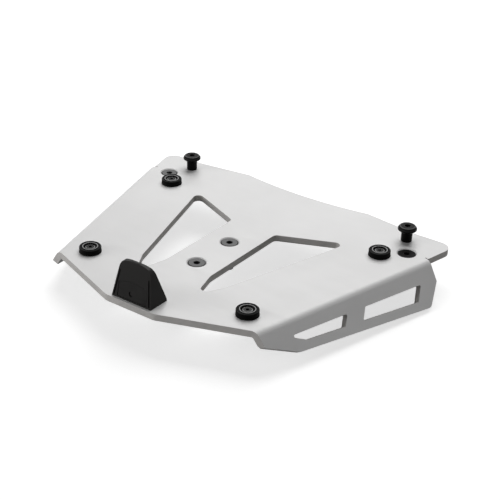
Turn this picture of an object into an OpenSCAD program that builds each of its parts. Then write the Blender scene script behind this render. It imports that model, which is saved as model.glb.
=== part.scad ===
// Top case mount: one folded sheet deck with splayed side flanges,
// rubber pads, mushroom pins, a rear latch block and its mounting bolts.
// Units are millimetres, +X is the right side, +Y is forward, +Z is up.
// The origin is on the axis of the front centre bolt, at the lower face of
// its spacer, where the mount sits on the frame below it.

/* [Sheet] */
// Thickness of the folded sheet
sheet_t = 6; // [5.5:0.25:6.5]
// Height of the spacers under the deck
spacer_h = 10; // [8:1:14]

/* [Deck outline] */
// Distance from the front centre bolt to the rear edge
rear_y = 135.2; // [133:0.5:140]
// Half width of the straight rear edge behind the latch
rear_flat = 25; // [23:1:30]
// Angle of the rear edge towards each side
rear_rake = 20.35; // [18:0.5:22]
// Forward position of the front edge at the ears
ear_y = 117; // [116:0.5:120]
// Corner radius at the tip of each ear
ear_r = 10; // [8:0.5:11]
// How far the ear stands out past the start of the bend at the relief slit
ear_side = 1.7; // [1.3:0.1:2]
// How far the ear stands out past the fold line at its tip
ear_tip = 0.5; // [0.2:0.1:0.9]
// Half width at which the front edge starts to rise
brow_x = 122; // [118:1:126]
// Half width of the crest of the front edge
crest_x = 68; // [64:1:72]
// Forward position of the crest of the front edge
crest_y = 124.6; // [123:0.2:126]
// Depth of the shallow arc between the crests
front_dip = 6.1; // [5:0.1:7]

/* [Fold] */
// Half width of the deck at the start of the bend, level with the front centre bolt
fold_x = 129.4; // [128.5:0.5:132]
// Splay of each fold line away from the fore and aft direction
splay = 15; // [14.5:0.25:15.5]
// Angle that each flange is folded down through
fold_angle = 57; // [55:1:60]
// Outer radius of the bend
bend_r = 8; // [7:0.5:9]
// Position of the relief slit along the fold
relief_at = 85; // [84:0.5:86]
// Width of the relief slit
relief_w = 0.8; // [0.7:0.1:1.2]
// Depth of the relief slit inboard of the bend
relief_d = 0.8; // [0.6:0.1:1.2]
// Slope of the rear end of the bend against the fold
wing_rake = 21; // [18:1:24]

/* [Flange] */
// Depth of the flange below the bend at the front corner
flange_front = 33.6; // [32:0.2:35]
// Taper of the lower edge against the fold
flange_taper = 4.05; // [3.5:0.25:4.5]
// Distance along the fold from the lower front corner to the relief
toe_run = 15.5; // [14:0.5:17]
// Depth at which the front edge of the flange turns back
toe_q = 14.5; // [13:0.5:16]
// Corner radius at the lower front of the flange
toe_r = 5; // [4:0.5:6]
// Position of the lower rear corner along the fold
heel_at = 75.5; // [74:0.5:77]
// Position of the rear end of the flange along the fold
tail_at = 107; // [106:0.5:108]
// Depth of the flange at its rear end
tail_q = 9.2; // [8:0.2:10]

/* [Flange windows] */
// Depth of the upper edge of the flange windows below the bend
slot_top = 10.4; // [9.8:0.1:11]
// Rise of the depth of that upper edge along the fold, in degrees
slot_tilt = 1.3; // [1:0.1:1.6]
// Width of the strip left below the flange windows
slot_strip = 7.6; // [7:0.2:8.5]
// Corner radius of the flange windows
slot_r = 1.3; // [1:0.1:1.6]
// Rear end of the rear window along the fold
slot_rear_at = 81.5; // [80:0.5:83]
// Run of the slanted rear end of the rear window
slot_rear_run = 16; // [15:0.5:18]
// Front end of the rear window along the fold
slot_mid_at = 19; // [18:0.5:20]
// Width of the web between the two windows
slot_web = 20; // [18:0.5:22]
// Front end of the front window along the fold
slot_front_at = 66.5; // [65:0.5:67.5]
// Slant of the window ends along the fold per unit of depth
slot_lean = 0.66; // [0.6:0.02:0.7]

/* [Deck windows] */
// Half distance between the two deck windows
win_in = 23.8; // [22:0.2:25]
// Front corner of the window at its inner side
win_front = 35.7; // [34:0.5:38]
// Front outer corner of the window across the deck
win_wide = 83.7; // [81:0.5:85]
// Front outer corner of the window along the deck
win_long = 62; // [59:0.5:63]
// Outer rear corner of the window across the deck
win_heel_x = 44.8; // [43:0.5:46]
// Outer rear corner of the window along the deck
win_heel_y = 65.5; // [64:0.5:67]
// Tip of the window across the deck
win_tip_x = 32; // [31:0.5:33]
// Tip of the window along the deck
win_tip_y = 89.5; // [87:0.5:91]
// Inner rear corner of the window along the deck
win_waist_y = 59; // [57:0.5:61]
// Corner radius of the deck windows at the front
win_r = 5; // [4:0.5:6]

/* [Mounting bolts] */
// Distance between the two centre bolts
bolt_pitch = 47.1; // [45:0.5:50]
// Half distance between the two front bolts
bolt_front_x = 133.3; // [132:0.5:134.5]
// Forward position of the front bolts
bolt_front_y = 80.3; // [79:0.5:81]
// Radius of the countersink at the deck surface
sink_r = 9; // [8.5:0.1:9.5]
// Radius of the threaded free end
bolt_r = 4; // [3.8:0.1:4.2]
// Width across flats of the hexagon socket
bolt_hex = 5; // [4:0.5:6]
// Depth of the hexagon socket
bolt_hex_d = 2.6; // [2:0.2:3]
// Length of the free end below the spacer
bolt_free = 10; // [8:1:12]
// Radius of the spacers
spacer_r = 10; // [9:0.5:11]

/* [Pads] */
// Half distance between the rear pads
pad_rear_x = 83.75; // [82:0.25:86]
// Rearward position of the rear pads
pad_rear_y = 89.2; // [87:0.2:91]
// Half distance between the front pads
pad_front_x = 116; // [114.5:0.5:117]
// Forward position of the front pads
pad_front_y = 62.5; // [61:0.5:64]
// Radius of the pads
pad_r = 9.6; // [9.2:0.1:10]
// Height of the pads above the deck
pad_h = 5.25; // [4.75:0.25:6.25]
// Radius of the recess for the screw head
pad_cup_r = 5.2; // [5:0.1:5.6]
// Depth of the recess for the screw head
pad_cup_d = 3; // [2.8:0.1:3.4]
// Radius of the pad screw shank
pad_screw_r = 2.5; // [2.3:0.1:2.6]

/* [Pins] */
// Half distance between the two pins
pin_x = 121.2; // [119.5:0.2:122.5]
// Forward position of the pins
pin_y = 101; // [100:0.2:102]
// Radius of the pin stem
pin_stem_r = 5; // [4.8:0.1:5.2]
// Radius of the pin head
pin_head_r = 8.45; // [8:0.05:8.8]
// Height of the pin above the deck
pin_h = 14.75; // [13.75:0.25:15.75]
// Radius of the threaded tail of the pin
pin_tail_r = 4; // [3.8:0.1:4.2]

/* [Latch block] */
// Gap between the rear edge of the deck and the latch block
latch_gap = 2.2; // [2:0.1:3]
// Half width of the latch block at its foot
latch_half = 20.5; // [20:0.1:21]
// Half width of the latch block at its shoulders
latch_top_half = 15.2; // [14.6:0.1:16]
// Height of the latch block
latch_h = 33.4; // [32:0.2:35]
// Depth of the latch block at its foot
latch_d = 20.6; // [19.5:0.2:22]
// Forward lean of the rear face
latch_lean = 12; // [11:0.5:13]
// Thickness of the latch block at its crown
latch_crown = 3; // [2.6:0.2:3.6]
// Distance of the side grooves from the slanted sides
groove_in = 1.2; // [1:0.1:1.4]
// Width of the side grooves in the rear face
groove_w = 1.3; // [1:0.1:1.5]
// Depth of the side grooves
groove_d = 0.9; // [0.6:0.1:1.2]
// Height of the upper ends of the side grooves
groove_top = 24; // [22:0.5:25]
// Half width of the insert in the rear face
insert_half = 14.7; // [14:0.1:15.5]
// Height of the sides of the insert
insert_side = 12; // [11:0.5:13]
// Rise of the arched top of the insert
insert_rise = 3; // [2:0.25:3.5]
// Half distance between the two latch screws
latch_screw_x = 11; // [10:0.5:12]
// Radius of the latch screws
latch_screw_r = 2.5; // [2.3:0.1:2.6]

/* [Hidden] */
$fn = 40;
deck_z = spacer_h;
deck_top = spacer_h + sheet_t;
fit = 0.25;
snug = 0.1;
eps = 1;
lead = 4;
washer_t = 1.2;
nut_t = 4.7;
head_step = 0.4;
pad_seat_z = pad_h - pad_cup_d;
pad_head_h = 2.4;
pin_nut_t = 6.5;
latch_rear = latch_gap - rear_y;
latch_screw_y = latch_rear + 11;
latch_screw_len = 9;
backing_t = 2;
backing_end = latch_half / 3;
backing_half = latch_half * 0.3;

// A point given by its distance outboard of the fold and its place along the fold
function fold_pt(o, t) = [fold_x + o * cos(splay) + t * sin(splay), t * cos(splay) - o * sin(splay)];

// Place along the fold where the raked rear edge of the deck meets it
rear_t = (tan(rear_rake) * (fold_x - rear_flat) - rear_y) / (cos(splay) - tan(rear_rake) * sin(splay));

// Place along the fold where the side of the ear meets the front edge
ear_t = (ear_y + ear_tip * sin(splay)) / cos(splay);

// Depth of the lower flange edge at a place along the fold
function edge_q(t) = flange_front - tan(flange_taper) * (relief_at - toe_run - t);

// Points of the arc of radius r that rounds corner p between its neighbours a and b
function corner_arc(a, p, b, r) =
    let (
        u = (a - p) / norm(a - p),
        w = (b - p) / norm(b - p),
        half = acos(u * w) / 2,
        c = p + (u + w) / norm(u + w) * r / sin(half),
        d1 = p + u * r / tan(half) - c,
        d2 = p + w * r / tan(half) - c,
        turn = 180 - 2 * half,
        n = max(2, ceil(turn / (r > 3 ? 7.5 : 15)))
    )
    [for (i = [0:n]) c + (d1 * sin(turn * (1 - i / n)) + d2 * sin(turn * i / n)) / sin(turn)];

// A polygon whose corners are rounded by the radii in the second list
module rounded(pts, radii) {
    n = len(pts);
    polygon([for (i = [0:n - 1]) each
        radii[i] > 0 ? corner_arc(pts[(i + n - 1) % n], pts[i], pts[(i + 1) % n], radii[i]) : [pts[i]]]);
}

module both_sides() {
    children();
    mirror([1, 0, 0]) children();
}

// The fold frame: x runs outboard, y along the fold, z = 0 is the deck surface
module on_fold() {
    translate([fold_x, 0, deck_top]) rotate([0, 0, -splay]) children();
}

module deck_outline() {
    right = [[rear_flat, -rear_y], fold_pt(0, rear_t), fold_pt(0, relief_at + relief_w / 2),
        fold_pt(ear_side, relief_at + relief_w / 2), fold_pt(ear_tip, ear_t),
        [brow_x, ear_y], [crest_x, crest_y]];
    left = [for (i = [len(right) - 1:-1:0]) [-right[i][0], right[i][1]]];
    radii = [12, 0, 0, 0, ear_r, 40, 0, 0, 40, ear_r, 0, 0, 0, 12];
    dip_r = (crest_x * crest_x + front_dip * front_dip) / (2 * front_dip);
    difference() {
        rounded(concat(right, left), radii);
        translate([0, crest_y - front_dip + dip_r]) circle(r = dip_r, $fn = 720);
    }
}

module deck_window() {
    rounded([[win_in, win_front], [win_wide, win_long], [win_heel_x, -win_heel_y],
        [win_tip_x, -win_tip_y], [win_in, -win_waist_y]], [win_r, win_r, 14, 4.5, 14]);
}

module relief_slit() {
    translate([fold_x, 0]) rotate(-splay) {
        translate([-relief_d, relief_at]) square([relief_d + ear_side + eps, relief_w]);
        translate([-relief_d, relief_at + relief_w / 2]) circle(r = 0.8 * relief_w, $fn = 24);
    }
}

// The quarter of the tube that joins the deck to the flange
module bend_strip() {
    translate([0, 0, -bend_r]) rotate([0, -90, -90]) rotate_extrude(angle = fold_angle)
        translate([bend_r - sheet_t, rear_t - 5]) square([sheet_t, relief_at - rear_t + 5 + lead]);
}

// The flange drawn flat: x is the depth below the bend, y runs along the fold
module flange_outline() {
    toe_edge = edge_q(relief_at - toe_run);
    rounded([[0, relief_at + lead], [toe_q - lead * (toe_edge - toe_q) / toe_run, relief_at + lead],
        [toe_edge, relief_at - toe_run], [edge_q(-heel_at), -heel_at], [tail_q, -tail_at], [0, rear_t - 2]],
        [0, 0, toe_r, 3, 1.5, 0]);
}

function slot_q(t) = edge_q(t) - slot_strip;
function top_q(t) = slot_top + tan(slot_tilt) * t;

// Corner where a window end that leans back from the upper edge meets the lower one
function lean_pt(t0) =
    let (
        k = tan(flange_taper),
        q = (slot_q(t0) + k * slot_lean * top_q(t0)) / (1 + k * slot_lean)
    )
    [q, t0 - slot_lean * (q - top_q(t0))];

module flange_windows() {
    front = slot_front_at;
    web = slot_web - slot_mid_at;
    mid = -slot_mid_at;
    rear = slot_rear_run - slot_rear_at;
    radii = [slot_r, slot_r, slot_r, slot_r];
    rounded([[top_q(front), front], [top_q(web), web], lean_pt(web), lean_pt(front)], radii);
    rounded([[top_q(mid), mid], [top_q(-slot_rear_at), -slot_rear_at],
        [slot_q(rear), rear], lean_pt(mid)], radii);
}

module flange_panel() {
    translate([bend_r * sin(fold_angle), 0, bend_r * cos(fold_angle) - bend_r])
        rotate([0, fold_angle, 0]) translate([0, 0, -sheet_t])
            linear_extrude(sheet_t) difference() {
                flange_outline();
                flange_windows();
            }
}

module wing() {
    on_fold() difference() {
        union() {
            bend_strip();
            flange_panel();
        }
        translate([0, rear_t, 0]) rotate([0, 0, wing_rake])
            translate([-10, -60, -60]) cube([80, 60, 80]);
        translate([-10, relief_at, -60]) cube([80, 60, 80]);
    }
}

module sink(x, y) {
    translate([x, y, deck_top - sink_r + bolt_r + fit])
        cylinder(h = sink_r - bolt_r - fit + eps, r1 = bolt_r + fit, r2 = sink_r + eps);
    translate([x, y, deck_z - eps]) cylinder(h = sheet_t, r = bolt_r + fit);
}

module hole(x, y, r) {
    translate([x, y, deck_z - eps]) cylinder(h = sheet_t + 2 * eps, r = r + fit);
}

// The folded sheet: deck, splayed bends, raked flanges, windows and relief slits
module plate() {
    color([0.80, 0.80, 0.79]) difference() {
        union() {
            translate([0, 0, deck_z]) linear_extrude(sheet_t) difference() {
                deck_outline();
                both_sides() deck_window();
                both_sides() relief_slit();
            }
            both_sides() wing();
        }
        sink(0, 0);
        sink(0, -bolt_pitch);
        both_sides() sink(bolt_front_x, bolt_front_y);
        both_sides() hole(pad_rear_x, -pad_rear_y, pad_screw_r);
        both_sides() hole(pad_front_x, pad_front_y, pad_screw_r);
        both_sides() hole(pin_x, pin_y, pin_tail_r);
        both_sides() hole(latch_screw_x, latch_screw_y, latch_screw_r);
    }
}

// Countersunk bolt with a hexagon socket, a relieved shank and a threaded free end
module mount_bolt(x, y) {
    head_r = sink_r - 2 * head_step - 0.15;
    shank_r = bolt_r - 0.2;
    cone_h = head_r - shank_r;
    color([0.52, 0.53, 0.54]) translate([x, y, 0]) difference() {
        union() {
            translate([0, 0, deck_top - 2 * head_step]) cylinder(h = head_step, r = head_r);
            translate([0, 0, deck_top - 2 * head_step - cone_h])
                cylinder(h = cone_h, r1 = shank_r, r2 = head_r);
            cylinder(h = deck_top - 2 * head_step - cone_h, r = shank_r);
            translate([0, 0, -bolt_free]) cylinder(h = bolt_free, r = bolt_r);
            translate([0, 0, -bolt_free - 0.8]) cylinder(h = 0.8, r1 = bolt_r - 0.8, r2 = bolt_r);
        }
        translate([0, 0, deck_top - head_step - bolt_hex_d])
            cylinder(h = bolt_hex_d + eps, r = bolt_hex / sqrt(3), $fn = 6);
    }
}

module spacer(x, y) {
    throat = max(sink_r - sheet_t, bolt_r + fit);
    color([0.62, 0.63, 0.64]) translate([x, y, 0]) difference() {
        cylinder(h = spacer_h, r = spacer_r);
        translate([0, 0, -eps]) cylinder(h = spacer_h + 2 * eps, r = bolt_r + fit);
        if (throat > bolt_r + fit)
            translate([0, 0, spacer_h - throat + bolt_r + fit])
                cylinder(h = throat - bolt_r - fit + eps, r1 = bolt_r + fit, r2 = throat + eps);
    }
}

module centre_bolt_front() {
    mount_bolt(0, 0);
}

module centre_bolt_rear() {
    mount_bolt(0, -bolt_pitch);
}

module front_bolt_left() {
    mount_bolt(-bolt_front_x, bolt_front_y);
}

module front_bolt_right() {
    mount_bolt(bolt_front_x, bolt_front_y);
}

module centre_spacer_front() {
    spacer(0, 0);
}

module centre_spacer_rear() {
    spacer(0, -bolt_pitch);
}

module front_spacer_left() {
    spacer(-bolt_front_x, bolt_front_y);
}

module front_spacer_right() {
    spacer(bolt_front_x, bolt_front_y);
}

// Turned profile of a pad: flared foot, two ring grooves and a cup for the screw
module pad(x, y) {
    ring = 0.8;
    mid = (pad_cup_r + pad_r) / 2;
    color([0.06, 0.06, 0.06]) translate([x, y, deck_top]) rotate_extrude() polygon([
        [pad_screw_r + snug, 0], [pad_r + 0.2, 0], [pad_r + 0.2, 0.8], [pad_r, 1.2],
        [pad_r, pad_h - 0.5], [pad_r - 0.5, pad_h],
        [pad_r - 0.8, pad_h], [pad_r - 0.9, pad_h - 0.4], [pad_r - 1.3, pad_h - 0.4], [pad_r - 1.4, pad_h],
        [mid + ring / 2, pad_h], [mid + ring / 2 - 0.1, pad_h - 0.6],
        [mid - ring / 2 + 0.1, pad_h - 0.6], [mid - ring / 2, pad_h],
        [pad_cup_r + 0.2, pad_h], [pad_cup_r, pad_h - 0.2], [pad_cup_r, pad_seat_z],
        [pad_screw_r + snug, pad_seat_z]]);
}

// Pan head screw with a hexagon socket, seated in the cup of a pad
module pad_screw(x, y) {
    tail = sheet_t + washer_t + nut_t + 1.2;
    color([0.10, 0.10, 0.10]) translate([x, y, deck_top]) difference() {
        union() {
            translate([0, 0, -tail]) cylinder(h = tail + pad_seat_z, r = pad_screw_r);
            translate([0, 0, pad_seat_z]) cylinder(h = pad_head_h - 0.8, r = pad_cup_r - 0.6);
            translate([0, 0, pad_seat_z + pad_head_h - 0.8])
                cylinder(h = 0.8, r1 = pad_cup_r - 0.6, r2 = pad_cup_r - 1.6);
        }
        translate([0, 0, pad_seat_z + pad_head_h - 1.5])
            cylinder(h = 2, r = 1.75, $fn = 6);
    }
}

// Flanged hexagon nut under the deck
module pad_nut(x, y) {
    color([0.66, 0.66, 0.66]) translate([x, y, deck_z]) difference() {
        union() {
            translate([0, 0, -washer_t]) cylinder(h = washer_t, r = 5.6);
            translate([0, 0, -washer_t - nut_t]) cylinder(h = nut_t, r = 4.62, $fn = 6);
        }
        translate([0, 0, -washer_t - nut_t - eps])
            cylinder(h = washer_t + nut_t + 2 * eps, r = pad_screw_r + 0.03);
    }
}

module pad_rear_left() {
    pad(-pad_rear_x, -pad_rear_y);
}

module pad_rear_right() {
    pad(pad_rear_x, -pad_rear_y);
}

module pad_front_left() {
    pad(-pad_front_x, pad_front_y);
}

module pad_front_right() {
    pad(pad_front_x, pad_front_y);
}

module pad_screw_rear_left() {
    pad_screw(-pad_rear_x, -pad_rear_y);
}

module pad_screw_rear_right() {
    pad_screw(pad_rear_x, -pad_rear_y);
}

module pad_screw_front_left() {
    pad_screw(-pad_front_x, pad_front_y);
}

module pad_screw_front_right() {
    pad_screw(pad_front_x, pad_front_y);
}

module pad_nut_rear_left() {
    pad_nut(-pad_rear_x, -pad_rear_y);
}

module pad_nut_rear_right() {
    pad_nut(pad_rear_x, -pad_rear_y);
}

module pad_nut_front_left() {
    pad_nut(-pad_front_x, pad_front_y);
}

module pad_nut_front_right() {
    pad_nut(pad_front_x, pad_front_y);
}

// Mushroom pin: straight stem, bevelled head with a hexagon socket, threaded tail
module pin(x, y) {
    tail = sheet_t + 1.6 + pin_nut_t + 1.5;
    color([0.05, 0.05, 0.05]) translate([x, y, deck_top]) difference() {
        rotate_extrude() polygon([[0, -tail], [pin_tail_r - 0.7, -tail], [pin_tail_r, 0.7 - tail],
            [pin_tail_r, 0], [pin_stem_r, 0], [pin_stem_r, pin_h - 6.1],
            [pin_head_r, pin_h - 3.7], [pin_head_r, pin_h - 2.1], [pin_head_r * 0.82, pin_h], [0, pin_h]]);
        translate([0, 0, pin_h - 4]) cylinder(h = 4 + eps, r = 5 / sqrt(3), $fn = 6);
    }
}

module pin_washer(x, y) {
    color([0.68, 0.68, 0.68]) translate([x, y, deck_z - 1.6]) difference() {
        cylinder(h = 1.6, r = 8);
        translate([0, 0, -eps]) cylinder(h = 1.6 + 2 * eps, r = pin_tail_r + fit);
    }
}

module pin_nut(x, y) {
    color([0.66, 0.66, 0.66]) translate([x, y, deck_z - 1.6 - pin_nut_t]) difference() {
        cylinder(h = pin_nut_t, r = 13 / sqrt(3), $fn = 6);
        translate([0, 0, -eps]) cylinder(h = pin_nut_t + 2 * eps, r = pin_tail_r + 0.03);
    }
}

module pin_left() {
    pin(-pin_x, pin_y);
}

module pin_right() {
    pin(pin_x, pin_y);
}

module pin_washer_left() {
    pin_washer(-pin_x, pin_y);
}

module pin_washer_right() {
    pin_washer(pin_x, pin_y);
}

module pin_nut_left() {
    pin_nut(-pin_x, pin_y);
}

module pin_nut_right() {
    pin_nut(pin_x, pin_y);
}

// The frame of the leaning rear face of the latch block
module on_latch_face() {
    translate([0, latch_rear, deck_top]) rotate([-latch_lean, 0, 0]) children();
}

// Outline of the insert, drawn in the plane of the rear face
module insert_outline(grow) {
    arch_r = (insert_half * insert_half + insert_rise * insert_rise) / (2 * insert_rise);
    intersection() {
        translate([-insert_half - grow, 1.6 - grow])
            square([2 * insert_half + 2 * grow, insert_side + insert_rise + 2 * grow]);
        translate([0, 1.6 + insert_side + insert_rise - arch_r]) circle(r = arch_r + grow, $fn = 180);
    }
}

// Outline of the groove along one slanted side, drawn in the plane of the rear face
module groove_outline() {
    foot = 1.6;
    slant = (latch_half - latch_top_half) * cos(latch_lean) / latch_h;
    outer = latch_half - groove_in;
    polygon([[outer - foot * slant, foot], [outer - groove_top * slant, groove_top],
        [outer - groove_w - groove_top * slant, groove_top], [outer - groove_w - foot * slant, foot]]);
}

module latch_body() {
    crown_y = latch_rear + latch_h * tan(latch_lean);
    color([0.12, 0.12, 0.11]) difference() {
        intersection() {
            translate([0, latch_rear + latch_d + eps, deck_top]) rotate([90, 0, 0])
                linear_extrude(latch_d + 2 * eps) intersection() {
                    rounded([[-latch_half, 0], [latch_half, 0], [latch_top_half, latch_h],
                        [-latch_top_half, latch_h]], [0, 0, 9, 9]);
                    translate([0, latch_h - 45]) circle(r = 45, $fn = 180);
                }
            translate([-latch_half - eps, 0, deck_top]) rotate([90, 0, 90])
                linear_extrude(2 * latch_half + 2 * eps) rounded([[latch_rear, 0],
                    [latch_rear + latch_d, 0], [latch_rear + latch_d, 2],
                    [crown_y + latch_crown, latch_h], [crown_y, latch_h]], [0, 0, 1, 1.2, 0.8]);
        }
        on_latch_face() translate([0, 1.2, 0]) rotate([90, 0, 0])
            linear_extrude(1.2 + eps) insert_outline(0.3);
        on_latch_face() translate([0, groove_d, 0]) rotate([90, 0, 0])
            linear_extrude(groove_d + eps) both_sides() groove_outline();
        for (s = [-1, 1])
            translate([s * latch_screw_x, latch_screw_y, deck_top - eps])
                cylinder(h = latch_screw_len + 1 + eps, r = latch_screw_r + 0.03);
    }
}

// Arched insert of the latch block with a crescent shaped finger mark
module latch_insert() {
    color([0.15, 0.15, 0.14]) on_latch_face() difference() {
        translate([0, 1.2, 0]) rotate([90, 0, 0]) linear_extrude(0.9) insert_outline(0);
        translate([-1, 1.2, insert_side / 2 + 1]) rotate([90, 0, 0]) linear_extrude(1.4) difference() {
            circle(r = 2.6);
            translate([1, 1]) circle(r = 2.4);
        }
    }
}

module latch_backing() {
    color([0.55, 0.56, 0.57]) difference() {
        translate([0, latch_screw_y, deck_z - backing_t]) linear_extrude(backing_t)
            rounded([[-latch_screw_x - backing_end, -backing_half],
                [latch_screw_x + backing_end, -backing_half],
                [latch_screw_x + backing_end, backing_half], [-latch_screw_x - backing_end, backing_half]],
                [3, 3, 3, 3]);
        for (s = [-1, 1])
            translate([s * latch_screw_x, latch_screw_y, deck_z - backing_t - eps])
                cylinder(h = backing_t + 2 * eps, r = latch_screw_r + fit);
    }
}

module latch_screw(x) {
    color([0.20, 0.20, 0.20]) translate([x, latch_screw_y, deck_z - backing_t]) difference() {
        union() {
            translate([0, 0, -3]) cylinder(h = 3, r = latch_screw_r + 2);
            cylinder(h = backing_t + sheet_t + latch_screw_len, r = latch_screw_r);
        }
        translate([0, 0, -3 - eps]) cylinder(h = 2 + eps, r = 4 / sqrt(3), $fn = 6);
    }
}

module latch_screw_left() {
    latch_screw(-latch_screw_x);
}

module latch_screw_right() {
    latch_screw(latch_screw_x);
}

plate();
centre_bolt_front();
centre_bolt_rear();
front_bolt_left();
front_bolt_right();
centre_spacer_front();
centre_spacer_rear();
front_spacer_left();
front_spacer_right();
pad_rear_left();
pad_rear_right();
pad_front_left();
pad_front_right();
pad_screw_rear_left();
pad_screw_rear_right();
pad_screw_front_left();
pad_screw_front_right();
pad_nut_rear_left();
pad_nut_rear_right();
pad_nut_front_left();
pad_nut_front_right();
pin_left();
pin_right();
pin_washer_left();
pin_washer_right();
pin_nut_left();
pin_nut_right();
latch_body();
latch_insert();
latch_backing();
latch_screw_left();
latch_screw_right();
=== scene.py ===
"""Looks of a motorcycle top case mount: a folded light-alloy deck with raked side flanges, its
bolts and spacers, four rubber pads, two mushroom pins and the black latch block at the rear edge.

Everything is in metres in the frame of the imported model: +Z up, +Y towards the front of the
machine, origin on the axis of the front centre bolt, at the lower face of its spacer. The object
stands on the lower edges of its flanges.
"""

import math

import bmesh
import bpy
import numpy as np
from mathutils import Matrix, Vector


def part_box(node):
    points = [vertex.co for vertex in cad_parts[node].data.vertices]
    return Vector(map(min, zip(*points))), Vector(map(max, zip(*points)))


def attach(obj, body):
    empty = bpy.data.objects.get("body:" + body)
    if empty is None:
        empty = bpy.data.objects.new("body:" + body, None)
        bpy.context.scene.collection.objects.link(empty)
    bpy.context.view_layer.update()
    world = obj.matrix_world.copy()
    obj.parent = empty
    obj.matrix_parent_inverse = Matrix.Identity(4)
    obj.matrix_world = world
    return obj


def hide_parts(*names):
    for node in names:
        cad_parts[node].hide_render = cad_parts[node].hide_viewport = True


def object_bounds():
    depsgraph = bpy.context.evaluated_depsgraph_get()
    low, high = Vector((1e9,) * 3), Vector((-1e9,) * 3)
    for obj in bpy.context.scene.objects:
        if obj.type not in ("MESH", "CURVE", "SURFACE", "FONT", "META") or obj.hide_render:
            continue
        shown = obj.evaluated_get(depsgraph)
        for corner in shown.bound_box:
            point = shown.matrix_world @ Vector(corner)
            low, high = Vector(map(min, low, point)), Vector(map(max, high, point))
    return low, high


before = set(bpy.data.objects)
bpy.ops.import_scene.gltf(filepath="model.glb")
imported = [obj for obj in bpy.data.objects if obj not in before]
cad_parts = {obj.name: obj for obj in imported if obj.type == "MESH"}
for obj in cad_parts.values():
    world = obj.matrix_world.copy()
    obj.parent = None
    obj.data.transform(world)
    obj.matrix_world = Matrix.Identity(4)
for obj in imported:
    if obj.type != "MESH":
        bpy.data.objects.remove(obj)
cad_low, cad_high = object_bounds()

MM = 0.001
TAU = 2 * math.pi

# Sheet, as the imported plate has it
DECK_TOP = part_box("plate")[1].z
DECK_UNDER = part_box("centre_spacer_front")[1].z
FOLD_X = 129.4 * MM  # half width of the flat deck between the folds, at y = 0
SPLAY = math.radians(15)
FOLD_ANGLE = math.radians(57)
BEND_R = 8 * MM  # outer radius of the bend
EDGE_ROUND = 0.06 * MM  # deburred edge; from 0.08 its faces cross at a flange window's corner

# Camera, fitted to the photograph
EYE = (0.54336, -0.75149, 0.51083)
LOOK_AZIMUTH = math.radians(35.600)
LOOK_DOWN = math.radians(28.563)
ROLL = 0.0257
SENSOR = 36.0
PICTURE = 500
FOCAL_PIXELS = 1190.85
AXIS_PIXEL = (234.172, 251.891)

# Threads and hexagon key: M8 for the mounting bolts and the pin tails, M5 for the pad screws
STUD_PITCH = 1.25 * MM
STUD_GROOVE = 0.6 * MM
SCREW_PITCH = 0.8 * MM
SCREW_GROOVE = 0.4 * MM
KEY_CORNER = 5 / math.sqrt(3) * MM  # half the width across corners of a 5 mm key

# Clean-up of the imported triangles
SAME_POINT = 1e-6  # points nearer than this are one
SAME_FACE = math.radians(0.4)  # faces that turn less than this are one
CREASE = math.radians(25)  # edges that turn more than this show as a crease
ROUNDED = math.radians(35)  # edges that turn more than this get the Bevel modifier


# Shapes


def middle(node):
    """Centre of a node's box in x and y, and its lowest and highest z."""
    low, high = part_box(node)
    return (low.x + high.x) / 2, (low.y + high.y) / 2, low.z, high.z


def piece_from(name, points, faces, lip, node, finish, sharp=32):
    """A closed mesh piece that rides on the rigid body and stands for one node.

    lip is each point's share of the colour that its finish paints on lips and sockets: painted
    highlight on the black finishes, painted shade on the plated steel.
    """
    mesh = bpy.data.meshes.new(name)
    mesh.from_pydata(points.tolist(), [], faces.tolist())
    mesh.attributes.new("lip", "FLOAT", "POINT").data.foreach_set("value", lip.astype(np.float32))
    form = bmesh.new()
    form.from_mesh(mesh)
    bmesh.ops.remove_doubles(form, verts=form.verts, dist=1e-7)
    bmesh.ops.dissolve_degenerate(form, edges=form.edges, dist=1e-8)
    bmesh.ops.recalc_face_normals(form, faces=form.faces)
    form.to_mesh(mesh)
    form.free()
    mesh.shade_smooth()
    mesh.set_sharp_from_angle(angle=math.radians(sharp))
    mesh.materials.append(finish)
    piece = bpy.data.objects.new(name, mesh)
    bpy.context.scene.collection.objects.link(piece)
    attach(piece, "root")
    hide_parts(node)
    return piece


def eased(profile, radius, steps=4):
    """The profile with each corner replaced by a short quadratic curve.

    Around corner P, with A and B at the given distance along its two sides (at most 0.45 of a
    side), the curve is (1-t)^2 A + 2t(1-t) P + t^2 B. Columns past the first two are carried over
    unchanged.
    """
    rows = np.asarray(profile, float)
    t = np.linspace(0, 1, steps)[:, None]
    out = [rows[:1]]
    for before, corner, after in zip(rows[:-2], rows[1:-1], rows[2:]):
        ends = []
        for other in (before, after):
            side = other[:2] - corner[:2]
            length = np.linalg.norm(side)
            reach = min(radius, 0.45 * length) / max(length, 1e-12)
            ends.append(corner[:2] + side * reach)
        curve = (1 - t) ** 2 * ends[0] + 2 * t * (1 - t) * corner[:2] + t**2 * ends[1]
        out.append(np.hstack([curve, np.repeat(corner[None, 2:], steps, 0)]))
    out.append(rows[-1:])
    return np.vstack(out)


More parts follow.
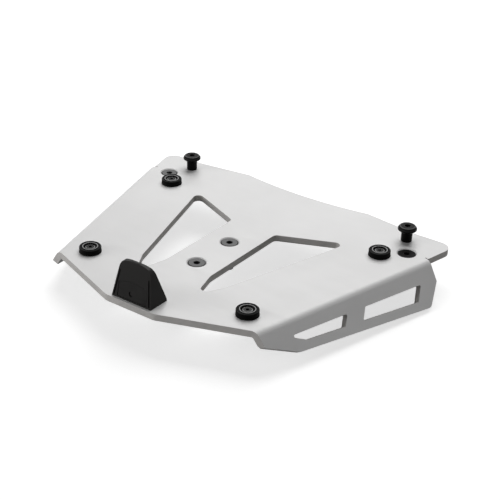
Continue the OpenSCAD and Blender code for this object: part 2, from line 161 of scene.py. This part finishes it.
def turned_grid(at, rings, pitch, around):
    """Points of a turned form with flats and threads.

    Each ring is radius R, height z, flats h, thread depth d and a limit. The radius at angle a is
    (1-h) R + h R cos 30 / cos((a mod 60) - 30), less d times a triangle wave of
    z / pitch - a / 360, and at most the limit, which is how a cone trims the corners of a nut.
    """
    rings = np.asarray(rings, float)
    angle = np.linspace(0, TAU, around, endpoint=False)[None, :]
    radius, height, flats, depth, limit = (rings[:, i : i + 1] for i in range(5))
    hexagon = math.cos(math.pi / 6) / np.cos(np.mod(angle, math.pi / 3) - math.pi / 6)
    reach = radius * (1 - flats + flats * hexagon)
    phase = np.mod(height / pitch - angle / TAU, 1)
    reach = np.minimum(reach - depth * np.abs(2 * phase - 1), limit)
    x = at[0] + reach * np.cos(angle)
    y = at[1] + reach * np.sin(angle)
    z = np.broadcast_to(height, x.shape)
    return np.stack([x, y, z], -1).reshape(-1, 3)


def lathe_faces(rings, around):
    """Quads between neighbouring rings, closed round the axis."""
    row, column = np.meshgrid(np.arange(rings - 1), np.arange(around), indexing="ij")
    ahead = (column + 1) % around
    this, following = row * around, (row + 1) * around
    quads = [this + column, this + ahead, following + ahead, following + column]
    return np.stack(quads, -1).reshape(-1, 4)


def turned(node, finish, rings, pitch=1.0, around=96):
    """A turned piece in the place of one node."""
    x, y, _, _ = middle(node)
    points = turned_grid((x, y), rings, pitch, around)
    faces = lathe_faces(len(rings), around)
    lip = np.repeat(np.asarray(rings, float)[:, 5], around)
    return piece_from("shape_" + node, points, faces, lip, node, finish)


def ring(radius, height, flats=0.0, depth=0.0, limit=1.0, lip=0.0):
    """One row of a turned form: radius, height, hexagon share, thread depth, trim radius, lip."""
    return [radius, height, flats, depth, limit, lip]


def thread(radius, low, high, pitch, depth):
    """Rings of a threaded stretch from low to high, eight a turn.

    The depth fades in over the first turn and out over the last.
    """
    z = np.linspace(low, high, max(int((high - low) / pitch * 8), 16))
    fade = np.clip(np.minimum(z - low, high - z) / pitch, 0, 1)
    zeros = np.zeros_like(z)
    return np.stack([np.full_like(z, radius), z, zeros, depth * fade, zeros + 1, zeros], -1)


def softened(node, finishes, width, pick=None):
    """A copy of a node, its triangles merged into faces and its edges rounded by a Bevel modifier.

    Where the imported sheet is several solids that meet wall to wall, the doubled walls inside it
    are taken out: the faces with two or more edges that more than two faces share. pick gives
    each face's finish from its centre and normal. A width of 0 leaves the edges as they are.
    """
    form = bmesh.new()
    form.from_mesh(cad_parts[node].data)
    bmesh.ops.remove_doubles(form, verts=form.verts, dist=SAME_POINT)
    shared = {line for line in form.edges if len(line.link_faces) > 2}
    walls = [face for face in form.faces if sum(line in shared for line in face.edges) > 1]
    bmesh.ops.delete(form, geom=walls, context="FACES")
    bmesh.ops.dissolve_limit(
        form,
        angle_limit=SAME_FACE,
        verts=form.verts,
        edges=form.edges,
        use_dissolve_boundaries=False,
    )
    mesh = bpy.data.meshes.new("shape_" + node)
    form.to_mesh(mesh)
    form.free()
    for finish in finishes:
        mesh.materials.append(finish)
    if pick is not None:
        centres, normals = np.zeros((2, len(mesh.polygons) * 3), np.float32)
        mesh.polygons.foreach_get("center", centres)
        mesh.polygons.foreach_get("normal", normals)
        chosen = pick(centres.reshape(-1, 3).astype(float), normals.reshape(-1, 3).astype(float))
        mesh.polygons.foreach_set("material_index", chosen.astype(np.int32))
    mesh.shade_smooth()
    mesh.set_sharp_from_angle(angle=CREASE)
    piece = bpy.data.objects.new("shape_" + node, mesh)
    bpy.context.scene.collection.objects.link(piece)
    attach(piece, "root")
    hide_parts(node)
    if width:
        bevel = piece.modifiers.new("edges", "BEVEL")
        bevel.width = width
        bevel.segments = 2
        bevel.limit_method = "ANGLE"
        bevel.angle_limit = ROUNDED
        bevel.harden_normals = True


def cut_faces(centres, normals):
    """1 for the cut edges of the folded sheet and 0 for its two skins.

    The sheet's own normal at a point is +Z turned outwards about the fold, by the angle of the
    point round the bend's axis, held between 0 and the fold angle. A skin's normal lies along it:
    a face is a cut edge where the two are more than 60 degrees apart.
    """
    side = np.where(centres[:, 0] < 0, -1.0, 1.0)
    across = (np.abs(centres[:, 0]) - FOLD_X) * math.cos(SPLAY) - centres[:, 1] * math.sin(SPLAY)
    above = centres[:, 2] - (DECK_TOP - BEND_R)
    turn = np.clip(np.arctan2(across, above), 0, FOLD_ANGLE)
    skin = np.stack(
        [
            side * math.cos(SPLAY) * np.sin(turn),
            -math.sin(SPLAY) * np.sin(turn),
            np.cos(turn),
        ],
        -1,
    )
    return (np.abs((skin * normals).sum(1)) < math.cos(math.radians(60))).astype(int)


# Finishes


class Finish:
    """A procedural material in the making: a Principled shader, noise on Object coordinates."""

    def __init__(self, name, roughness, metallic, specular=0.5):
        self.material = bpy.data.materials.new(name)
        self.material.use_nodes = True
        self.tree = self.material.node_tree
        self.shader = self.tree.nodes["Principled BSDF"]
        self.shader.inputs["Roughness"].default_value = roughness
        self.shader.inputs["Metallic"].default_value = metallic
        self.shader.inputs["Specular IOR Level"].default_value = specular
        self.place = self.tree.nodes.new("ShaderNodeTexCoord").outputs["Object"]

    def node(self, kind, **values):
        """A new shader node with the given settings."""
        made = self.tree.nodes.new(kind)
        for key, value in values.items():
            setattr(made, key, value)
        return made

    def join(self, out, into):
        """A link from an output to an input."""
        self.tree.links.new(out, into)

    def noise(self, scale, detail=4.0, stretch=(1, 1, 1), roughness=0.55):
        """Noise of a scale per metre, drawn out along an axis where stretch is below 1."""
        mapping = self.node("ShaderNodeMapping")
        mapping.inputs["Scale"].default_value = stretch
        self.join(self.place, mapping.inputs["Vector"])
        made = self.node("ShaderNodeTexNoise")
        made.inputs["Scale"].default_value = scale
        made.inputs["Detail"].default_value = detail
        made.inputs["Roughness"].default_value = roughness
        self.join(mapping.outputs["Vector"], made.inputs["Vector"])
        return made.outputs["Fac"]

    def range(self, value, low, high, start=0.35, end=0.65):
        """The value, spread from start..end to low..high."""
        made = self.node("ShaderNodeMapRange")
        ends = {"From Min": start, "From Max": end, "To Min": low, "To Max": high}
        for key, number in ends.items():
            made.inputs[key].default_value = number
        self.join(value, made.inputs["Value"])
        return made.outputs["Result"]

    def colours(self, value, stops):
        """A colour ramp over the value; each stop is its place and its colour."""
        made = self.node("ShaderNodeValToRGB")
        while len(made.color_ramp.elements) < len(stops):
            made.color_ramp.elements.new(0.5)
        for element, (at, colour) in zip(made.color_ramp.elements, stops):
            element.position = at
            element.color = (*colour, 1)
        self.join(value, made.inputs["Fac"])
        return made.outputs["Color"]

    def with_lips(self, body, level):
        """The body colour, changed by the lip value of the mesh to a grey of the given level.

        Where that grey is paler than the body it is a painted highlight; where it is darker it is
        painted shade.
        """
        lips = self.node("ShaderNodeAttribute", attribute_name="lip")
        mix = self.node("ShaderNodeMix", data_type="RGBA")
        colour_a, colour_b = (i for i in mix.inputs if i.type == "RGBA")
        self.join(lips.outputs["Fac"], mix.inputs["Factor"])
        self.join(body, colour_a)
        colour_b.default_value = (*grey(level), 1)
        return next(o for o in mix.outputs if o.type == "RGBA")

    def colour(self, out):
        """The output becomes the base colour."""
        self.join(out, self.shader.inputs["Base Color"])

    def rough(self, out):
        """The output becomes the roughness."""
        self.join(out, self.shader.inputs["Roughness"])

    def bump(self, height, depth, strength=1.0):
        """Relief of the given depth in metres, laid over any relief that is there."""
        made = self.node("ShaderNodeBump")
        made.inputs["Strength"].default_value = strength
        made.inputs["Distance"].default_value = depth
        self.join(height, made.inputs["Height"])
        previous = self.shader.inputs["Normal"].links
        if previous:
            self.join(previous[0].from_socket, made.inputs["Normal"])
        self.join(made.outputs["Normal"], self.shader.inputs["Normal"])


def grey(level, warm=0.0):
    """A near-neutral colour; warm lifts red and lowers blue by that share."""
    return level * (1 + warm), level, level * (1 - warm)


def satin_alloy():
    """Bead-blasted, clear anodised alloy: fine grain, faint clouds and short handling marks."""
    made = Finish("satin_alloy", 0.44, 0.08, 0.4)
    cloud = made.noise(9, detail=3)
    grain = made.noise(2600, detail=2)
    marks = made.noise(160, detail=6, stretch=(0.12, 1, 1), roughness=0.7)
    made.colour(made.colours(cloud, [(0.3, grey(0.66, 0.004)), (0.7, grey(0.73, 0.004))]))
    made.rough(made.range(marks, 0.40, 0.54, 0.3, 0.7))
    made.bump(grain, 0.02 * MM, 0.6)
    made.bump(marks, 0.01 * MM, 0.4)
    return made.material


def cut_alloy():
    """Laser-cut sheet edge: fine striations down the thickness and a warmer, duller grey."""
    made = Finish("cut_alloy", 0.5, 0.08, 0.4)
    streaks = made.noise(1500, detail=3, stretch=(1, 1, 0.08))
    cloud = made.noise(40, detail=3)
    made.colour(made.colours(cloud, [(0.3, grey(0.46, 0.03)), (0.7, grey(0.53, 0.03))]))
    made.rough(made.range(streaks, 0.42, 0.6))
    made.bump(streaks, 0.04 * MM, 0.7)
    return made.material


def plated_steel(name, low, high, roughness, metallic, specular=0.5, painted_band=None):
    """Plated steel: soft mottling and fine turning marks.

    If a grey is given for the lips, the lips are painted that dark: painted shade for the gap round
    a countersunk head and inside its socket.
    """
    made = Finish(name, roughness, metallic, specular)
    mottle = made.noise(260, detail=4)
    turning = made.noise(1800, detail=2, stretch=(1, 1, 5))
    body = made.colours(mottle, [(0.3, grey(low)), (0.7, grey(high))])
    made.colour(body if painted_band is None else made.with_lips(body, painted_band))
    made.rough(made.range(mottle, roughness - 0.06, roughness + 0.08))
    made.bump(turning, 0.012 * MM, 0.5)
    return made.material


def black_coat(
    name,
    level,
    roughness,
    metallic=0.0,
    grain=1200,
    depth=0.015,
    painted_sheen=0.0,
    warm=0.0,
    specular=0.35,
):
    """Black finish of a coated or moulded part: fine grain, patches of gloss and paler lips.

    grain is per metre and depth, its relief, in millimetres. The level given for the lips is a
    paler grey painted on them, a painted highlight for the sheen of their rounded edges; at 0 none
    is painted.
    """
    made = Finish(name, roughness, metallic, specular)
    patches = made.noise(90, detail=3)
    fine = made.noise(grain, detail=3)
    dark, light = level * 0.8, level * 1.25
    body = made.colours(patches, [(0.3, grey(dark, warm)), (0.7, grey(light, warm))])
    made.colour(made.with_lips(body, painted_sheen) if painted_sheen else body)
    made.rough(made.range(patches, roughness - 0.05, roughness + 0.07))
    made.bump(fine, depth * MM, 0.6)
    return made.material


alloy = satin_alloy()
edge = cut_alloy()
spacer_alloy = plated_steel("turned_alloy", 0.52, 0.62, 0.36, 0.6)
# The steel bolts' lips are painted near black: painted shade in the gap round the countersunk head
# and inside the socket.
bolt_steel = plated_steel("bolt_steel", 0.08, 0.12, 0.5, 0.1, specular=0.25, painted_band=0.004)
zinc = plated_steel("zinc_plate", 0.50, 0.62, 0.34, 0.7)
# The lips of the black bolt, the pads, the pad screws and the pins are painted a paler grey:
# painted highlights for the sheen of their rounded rings and rims.
bolt_black = black_coat("black_bolt", 0.004, 0.36, painted_sheen=0.02, specular=0.03)
rubber = black_coat("pad_rubber", 0.003, 0.50, grain=900, depth=0.03, painted_sheen=0.36, specular=0.03)
pad_screw_black = black_coat("black_screw", 0.004, 0.32, painted_sheen=0.36, specular=0.06)
pin_black = black_coat("pin_coat", 0.003, 0.32, painted_sheen=0.10, specular=0.04)
moulded = {"grain": 1500, "depth": 0.04, "warm": 0.08, "specular": 0.15}
latch_plastic = black_coat("latch_plastic", 0.006, 0.5, **moulded)
insert_plastic = black_coat("insert_plastic", 0.0055, 0.46, **moulded)
backing_steel = black_coat("backing_steel", 0.03, 0.42, metallic=0.5)


# Pieces

softened("plate", [alloy, edge], EDGE_ROUND, pick=cut_faces)
softened("latch_body", [latch_plastic], 0.03 * MM)
softened("latch_insert", [insert_plastic], 0)
softened("latch_backing", [backing_steel], 0.1 * MM)

CORNER = 0.12 * MM  # easing of the corners of small hardware
BOLTS = ("centre_bolt_front", "centre_bolt_rear", "front_bolt_left", "front_bolt_right")
SPACERS = ("centre_spacer_front", "centre_spacer_rear", "front_spacer_left", "front_spacer_right")
SEATS = ("rear_left", "rear_right", "front_left", "front_right")


def socket(corner, floor, top, ease=0.3 * MM, mouth=0.3, deep=0):
    """Rings of a hexagon socket from its drilled centre up: a cone, six walls and an eased mouth.

    mouth and deep are the lip values of the mouth and of the cone and walls, shares of the colour
    that the finish paints there: painted shade on plated steel, a painted highlight on black
    finishes.
    """
    return [
        ring(0, floor - 0.35 * corner, lip=deep),
        ring(corner * 0.8, floor, lip=deep),
        ring(corner, floor, 1, lip=deep),
        ring(corner, top - ease, 1, lip=deep),
        ring(corner + ease, top, 0.6, lip=mouth),
        ring(corner + ease + 0.2 * MM, top, 0.3),
    ]


def mounting_bolt(node, finish):
    """Countersunk M8 screw: flat head with a hexagon socket, plain shank and threaded free end.

    The rolled rim of the head, where it meets the countersink, carries the lip value of its finish,
    and so do the socket's walls and, less, its mouth: on the steel bolts this is painted shade,
    near black, for the gap at the countersink and the hollow of the socket; on the black bolt it is
    a faint painted sheen.
    """
    low, high = middle(node)[2:]
    head = (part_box(node)[1].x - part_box(node)[0].x) / 2
    shank, free = 3.8 * MM, 4.0 * MM
    rim, painted_band, key_deep = 0.4 * MM, 1.05 * MM, 2.6 * MM
    body = [
        *socket(KEY_CORNER, high - key_deep, high, mouth=0.4, deep=1),
        ring(head - painted_band - 0.1 * MM, high),
        ring(head - painted_band, high, lip=1),
        ring(head, high - rim, lip=1),
        ring(shank, high - rim - (head - shank)),
        ring(shank, 0.6 * MM),
        ring(free, 0),
    ]
    threaded = thread(free, low + 0.8 * MM, 0, STUD_PITCH, STUD_GROOVE)[::-1]
    rings = np.vstack([eased(body, CORNER), threaded, [ring(free - 0.8 * MM, low), ring(0, low)]])
    turned(node, finish, rings, STUD_PITCH)


def rubber_pad(node):
    """Moulded pad: flared foot, two ring grooves in the top and a cup for its screw.

    The profile is closed. The ridge inside the inner groove carries the lip value of its finish,
    and faintly so do the outer top edge and the inner rim of the outer groove: painted highlights,
    paler rings where the rounded rubber would catch the light.
    """
    low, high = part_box(node)
    foot = (high.x - low.x) / 2
    body, cup, hole = foot - 0.2 * MM, 5.2 * MM, 2.6 * MM
    base, top = low.z, high.z
    seat = top - 3 * MM
    mid = (cup + body) / 2
    outer_groove, inner_groove = top - 0.4 * MM, top - 0.6 * MM
    profile = [
        ring(hole, base),
        ring(foot, base),
        ring(foot, base + 0.8 * MM),
        ring(body, base + 1.2 * MM),
        ring(body, top - 0.6 * MM),
        ring(body - 0.5 * MM, top, lip=0.12),
        ring(body - 0.8 * MM, top),
        ring(body - 0.9 * MM, outer_groove),
        ring(body - 1.3 * MM, outer_groove),
        ring(body - 1.4 * MM, top, lip=0.1),
        ring(mid + 0.4 * MM, top),
        ring(mid + 0.3 * MM, inner_groove),
        ring(mid - 0.3 * MM, inner_groove),
        ring(mid - 0.45 * MM, top),
        ring(mid - 0.6 * MM, top, lip=1),
        ring(mid - 1.2 * MM, top, lip=1),
        ring(mid - 1.35 * MM, top),
        ring(cup + 0.2 * MM, top),
        ring(cup, top - 0.3 * MM),
        ring(cup, seat),
        ring(hole, seat),
        ring(hole, base),
    ]
    turned(node, rubber, eased(profile, 0.14 * MM))


def pad_screw(node):
    """Pan head screw in the cup of a pad, threaded down to its tip under the nut.

    The raised ring of its head, and less the mouth of its socket, carry the lip value of its
    finish: painted highlights.
    """
    low, high = middle(node)[2:]
    head, shank, tall, key_deep = 4.6 * MM, 2.5 * MM, 2.4 * MM, 1.5 * MM
    body = [
        *socket(1.75 * MM, high - key_deep, high, ease=0.15 * MM),
        ring(head - 1.15 * MM, high),
        ring(head - 1.0 * MM, high, lip=1),
        ring(head - 0.4 * MM, high - 0.35 * MM, lip=1),
        ring(head - 0.2 * MM, high - 0.6 * MM),
        ring(head, high - 0.85 * MM),
        ring(head, high - tall),
        ring(shank, high - tall),
        ring(shank, DECK_UNDER),
    ]
    start = DECK_UNDER - 0.05 * MM
    threaded = thread(shank, low + 0.5 * MM, start, SCREW_PITCH, SCREW_GROOVE)[::-1]
    rings = np.vstack([eased(body, CORNER), threaded, [ring(shank - 0.5 * MM, low), ring(0, low)]])
    turned(node, pad_screw_black, rings, SCREW_PITCH)


def mushroom_pin(node):
    """Turned pin: straight stem, head flared like a cone and bevelled to a small socketed flat.

    The bevel at the top of the head carries the lip value of its finish, and less so the mouth of
    the socket and the head's widest edge: painted highlights.
    """
    low, high = middle(node)[2:]
    head = (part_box(node)[1].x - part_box(node)[0].x) / 2
    stem, tail, key_deep = 5.0 * MM, 4.0 * MM, 4 * MM
    body = [
        *socket(KEY_CORNER, high - key_deep, high),
        ring(head * 0.70, high),
        ring(head * 0.76, high, lip=1),
        ring(head * 0.82, high - 0.2 * MM, lip=1),
        ring(head * 0.88, high - 0.7 * MM),
        ring(head, high - 2.1 * MM, lip=0.15),
        ring(head, high - 3.7 * MM),
        ring(stem, high - 6.1 * MM),
        ring(stem, DECK_TOP),
        ring(tail, DECK_TOP),
        ring(tail, DECK_UNDER),
    ]
    start = DECK_UNDER - 0.05 * MM
    threaded = thread(tail, low + 0.7 * MM, start, STUD_PITCH, STUD_GROOVE)[::-1]
    end = [ring(tail - 0.7 * MM, low), ring(0, low)]
    rings = np.vstack([eased(body, 0.25 * MM), threaded, end])
    turned(node, pin_black, rings, STUD_PITCH)


def hexagon_nut(node, corner, bore, flange=0.0, flange_tall=0.0):
    """Nut with its corners trimmed by a cone of 30 degrees at each free end; a closed profile.

    A flanged nut keeps its round flange above the hexagon, against the deck.
    """
    low, high = middle(node)[2:]
    flat = corner * math.cos(math.pi / 6)
    drop = (corner - flat) * math.tan(math.radians(30))
    body_top = high - flange_tall
    trims = [(drop * t, flat + (corner - flat) * t) for t in np.linspace(0, 1, 6)]
    lower = [ring(corner, low + rise, 1, limit=trim) for rise, trim in trims]
    if flange:
        upper = [ring(corner, body_top, 1), ring(flange, body_top), ring(flange, high)]
    else:
        upper = [ring(corner, high - rise, 1, limit=trim) for rise, trim in trims[::-1]]
    profile = [ring(bore, high), ring(bore, low), *lower, *upper, ring(bore, high)]
    turned(node, zinc, profile)


for bolt in BOLTS:
    mounting_bolt(bolt, bolt_black if bolt == "front_bolt_right" else bolt_steel)
for seat in SEATS:
    rubber_pad("pad_" + seat)
    pad_screw("pad_screw_" + seat)
    hexagon_nut("pad_nut_" + seat, 4.62 * MM, 2.53 * MM, flange=5.6 * MM, flange_tall=1 * MM)
for hand in ("left", "right"):
    mushroom_pin("pin_" + hand)
    hexagon_nut("pin_nut_" + hand, 13 / math.sqrt(3) * MM, 4.03 * MM)
    softened("pin_washer_" + hand, [zinc], 0.2 * MM)
    softened("latch_screw_" + hand, [zinc], 0.15 * MM)
for spacer in SPACERS:
    softened(spacer, [spacer_alloy], 0.3 * MM)


# Floor, light and camera


def floor():
    """A pale floor at the lower edges of the flanges, with the object's soft shadow on it.

    What the camera sees is the lit floor plus a glow that rises to white between 0.3 and 1 m from
    the origin. From below the floor is clear.
    """
    half = 6.0
    z = cad_low.z
    corners = [(-half, -half, z), (half, -half, z), (half, half, z), (-half, half, z)]
    mesh = bpy.data.meshes.new("floor")
    mesh.from_pydata(corners, [], [(0, 1, 2, 3)])
    made = Finish("pale_floor", 0.9, 0.0, 0.0)
    made.shader.inputs["Base Color"].default_value = (*grey(0.6), 1)
    away = made.node("ShaderNodeVectorMath", operation="LENGTH")
    made.join(made.place, away.inputs[0])
    level = made.range(away.outputs["Value"], 0.66, 1.0, 0.3, 1.0)
    seen = made.node("ShaderNodeLightPath")
    strength = made.node("ShaderNodeMath", operation="MULTIPLY")
    made.join(level, strength.inputs[0])
    made.join(seen.outputs["Is Camera Ray"], strength.inputs[1])
    glow = made.node("ShaderNodeEmission")
    made.join(strength.outputs[0], glow.inputs["Strength"])
    lit = made.node("ShaderNodeAddShader")
    made.join(made.shader.outputs[0], lit.inputs[0])
    made.join(glow.outputs[0], lit.inputs[1])
    facing = made.node("ShaderNodeNewGeometry")
    clear = made.node("ShaderNodeBsdfTransparent")
    both = made.node("ShaderNodeMixShader")
    made.join(facing.outputs["Backfacing"], both.inputs[0])
    made.join(lit.outputs[0], both.inputs[1])
    made.join(clear.outputs[0], both.inputs[2])
    made.join(both.outputs[0], made.tree.nodes["Material Output"].inputs["Surface"])
    mesh.materials.append(made.material)
    piece = bpy.data.objects.new("floor", mesh)
    bpy.context.scene.collection.objects.link(piece)


def sky(level):
    """A plain world: white to the camera, in reflections and through clear parts.

    The light that it gives is the lower, even level.
    """
    world = bpy.data.worlds.new("studio")
    bpy.context.scene.world = world
    world.use_nodes = True
    tree = world.node_tree
    tree.nodes.clear()
    path = tree.nodes.new("ShaderNodeLightPath")
    white = path.outputs["Is Camera Ray"]
    for ray in ("Is Glossy Ray", "Is Transmission Ray"):
        either = tree.nodes.new("ShaderNodeMath")
        either.operation = "MAXIMUM"
        tree.links.new(white, either.inputs[0])
        tree.links.new(path.outputs[ray], either.inputs[1])
        white = either.outputs[0]
    strength = tree.nodes.new("ShaderNodeMapRange")
    strength.inputs["To Min"].default_value = level
    strength.inputs["To Max"].default_value = 1.0
    background = tree.nodes.new("ShaderNodeBackground")
    background.inputs["Color"].default_value = (1, 1, 1, 1)
    out = tree.nodes.new("ShaderNodeOutputWorld")
    tree.links.new(white, strength.inputs["Value"])
    tree.links.new(strength.outputs["Result"], background.inputs["Strength"])
    tree.links.new(background.outputs[0], out.inputs["Surface"])


def soft_lamp(name, at, size, power):
    """A square area lamp at a point, turned towards the origin; size in metres, power in watts."""
    lamp = bpy.data.lights.new(name, "AREA")
    lamp.size = size
    lamp.energy = power
    made = bpy.data.objects.new(name, lamp)
    bpy.context.scene.collection.objects.link(made)
    made.location = at
    made.rotation_euler = (-Vector(at)).to_track_quat("-Z", "Y").to_euler()


def camera():
    """Camera at the photograph's place: looking along its azimuth and slope, rolled about that."""
    look = Vector(
        (
            -math.sin(LOOK_AZIMUTH) * math.cos(LOOK_DOWN),
            math.cos(LOOK_AZIMUTH) * math.cos(LOOK_DOWN),
            -math.sin(LOOK_DOWN),
        )
    )
    level = Vector((math.cos(LOOK_AZIMUTH), math.sin(LOOK_AZIMUTH), 0))
    upright = level.cross(look)
    right = level * math.cos(ROLL) + upright * math.sin(ROLL)
    up = upright * math.cos(ROLL) - level * math.sin(ROLL)
    lens = bpy.data.cameras.new("view")
    lens.sensor_width = SENSOR
    lens.lens = SENSOR * FOCAL_PIXELS / PICTURE
    lens.shift_x = (PICTURE / 2 - AXIS_PIXEL[0]) / PICTURE
    lens.shift_y = (AXIS_PIXEL[1] - PICTURE / 2) / PICTURE
    made = bpy.data.objects.new("view", lens)
    bpy.context.scene.collection.objects.link(made)
    made.matrix_world = Matrix.Translation(EYE) @ Matrix((right, up, -look)).transposed().to_4x4()
    bpy.context.scene.camera = made


floor()
sky(0.085)
soft_lamp("key", (-0.24, 0.75, 1.15), size=1.3, power=16.8)
soft_lamp("fill", (-0.9, -1.2, 0.6), size=1.0, power=6)
soft_lamp("side", (-1.2, -0.95, 0.16), size=0.6, power=8)
camera()
bpy.context.scene.view_settings.view_transform = "Standard"
